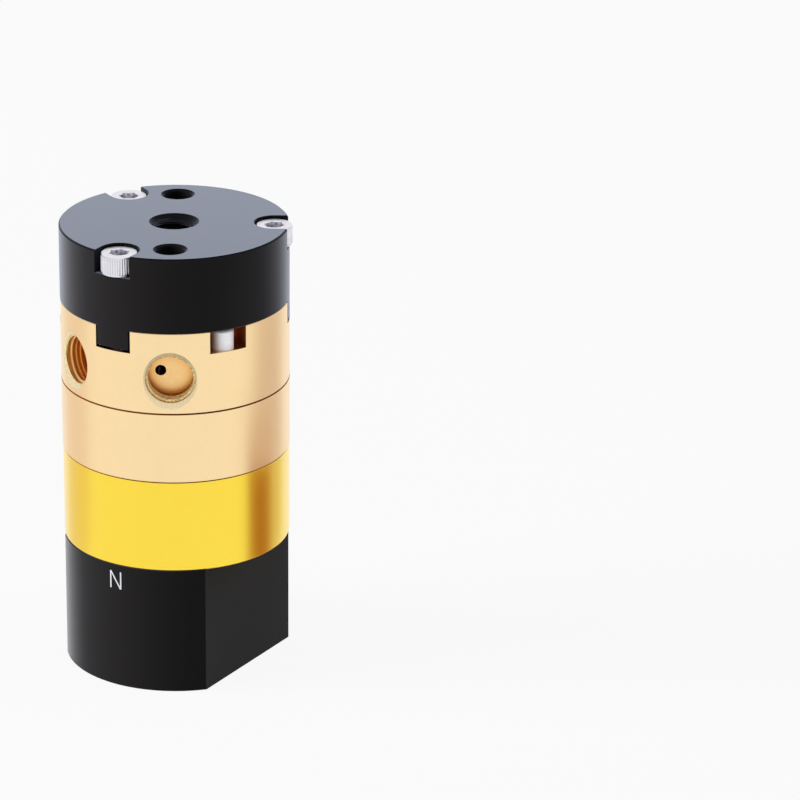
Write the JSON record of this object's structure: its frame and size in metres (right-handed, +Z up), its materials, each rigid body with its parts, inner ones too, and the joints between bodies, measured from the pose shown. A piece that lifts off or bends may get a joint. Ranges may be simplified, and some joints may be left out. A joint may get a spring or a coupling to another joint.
{
  "type": "robot magnetic gripper",
  "caption": "Round stacked permanent-magnet gripper for a robot arm, switched on and off by an air-driven vane that turns its upper magnet half a turn.",
  "frame": {"origin": "centre of the flat magnet face at the bottom", "axes": "+Z up the stack from the magnet face to the robot side, +X through one of the three cap screws"},
  "size_m": [0.0455, 0.045, 0.0904],
  "materials": {
    "black_anodised": "satin black anodised",
    "blackened_steel": "satin black",
    "pale_gold_anodised": "satin pale gold anodised",
    "yellow_gold_anodised": "glossy yellow gold anodised",
    "bright_steel": "bright",
    "dark_steel": "phosphated",
    "nickel_plate": "nickel plated",
    "bronze": "machined",
    "black_rubber": "matte",
    "slip_plastic": "matte"
  },
  "bodies": {
    "base": {"top_cap": "black_anodised", "cap_screws": "bright_steel", "port_ring": "pale_gold_anodised", "locating_dowels": "bright_steel", "middle_ring": "pale_gold_anodised", "coupling_ring": "yellow_gold_anodised", "magnet_housing": "blackened_steel", "fixed_magnet": "nickel_plate", "slip_disc": "slip_plastic", "carrier_bearing_outer_race": "bright_steel", "carrier_bearing_clip": "dark_steel", "stator_shoe": "bronze", "shoe_seal": "black_rubber", "shoe_dowels": "bright_steel", "shaft_seal": "black_rubber", "cap_o_ring": "black_rubber", "middle_o_ring": "black_rubber", "stop_pins": "bright_steel", "stop_bumpers": "black_rubber", "lower_bearing_outer_race": "bright_steel", "lower_bearing_clip": "dark_steel", "upper_bearing_outer_race": "bright_steel"},
    "rotor": {"vane_rotor": "bright_steel", "vane_seal": "black_rubber", "stop_arm": "dark_steel", "stop_arm_pin": "bright_steel", "lower_bearing_inner_race": "bright_steel", "upper_bearing_inner_race": "bright_steel", "carrier_bearing_inner_race": "bright_steel", "magnet_carrier": "dark_steel", "carrier_clip": "dark_steel", "turning_magnet": "nickel_plate"},
    "carrier_balls": {"carrier_bearing_balls": "bright_steel", "carrier_bearing_cage": "bronze"},
    "lower_balls": {"lower_bearing_balls": "bright_steel", "lower_bearing_cage": "bronze"},
    "upper_balls": {"upper_bearing_balls": "bright_steel", "upper_bearing_cage": "bronze"}
  },
  "joints": [
    {"name": "magnet_turn", "type": "hinge", "parent": "base", "child": "rotor", "pos_m": [0, 0, 0.03], "axis": [0, 0, 1], "range_deg": [0, 180]},
    {"name": "carrier_ball_roll", "type": "hinge", "parent": "base", "child": "carrier_balls", "pos_m": [0, 0, 0.037], "axis": [0, 0, 1], "range_deg": [0, 75]},
    {"name": "lower_ball_roll", "type": "hinge", "parent": "base", "child": "lower_balls", "pos_m": [0, 0, 0.0534], "axis": [0, 0, 1], "range_deg": [0, 69]},
    {"name": "upper_ball_roll", "type": "hinge", "parent": "base", "child": "upper_balls", "pos_m": [0, 0, 0.0744], "axis": [0, 0, 1], "range_deg": [0, 72.5]}
  ],
  "couplings": [
    {"joint": "carrier_ball_roll", "follows": "magnet_turn", "ratio": 0.4163},
    {"joint": "lower_ball_roll", "follows": "magnet_turn", "ratio": 0.3815},
    {"joint": "upper_ball_roll", "follows": "magnet_turn", "ratio": 0.4}
  ]
}
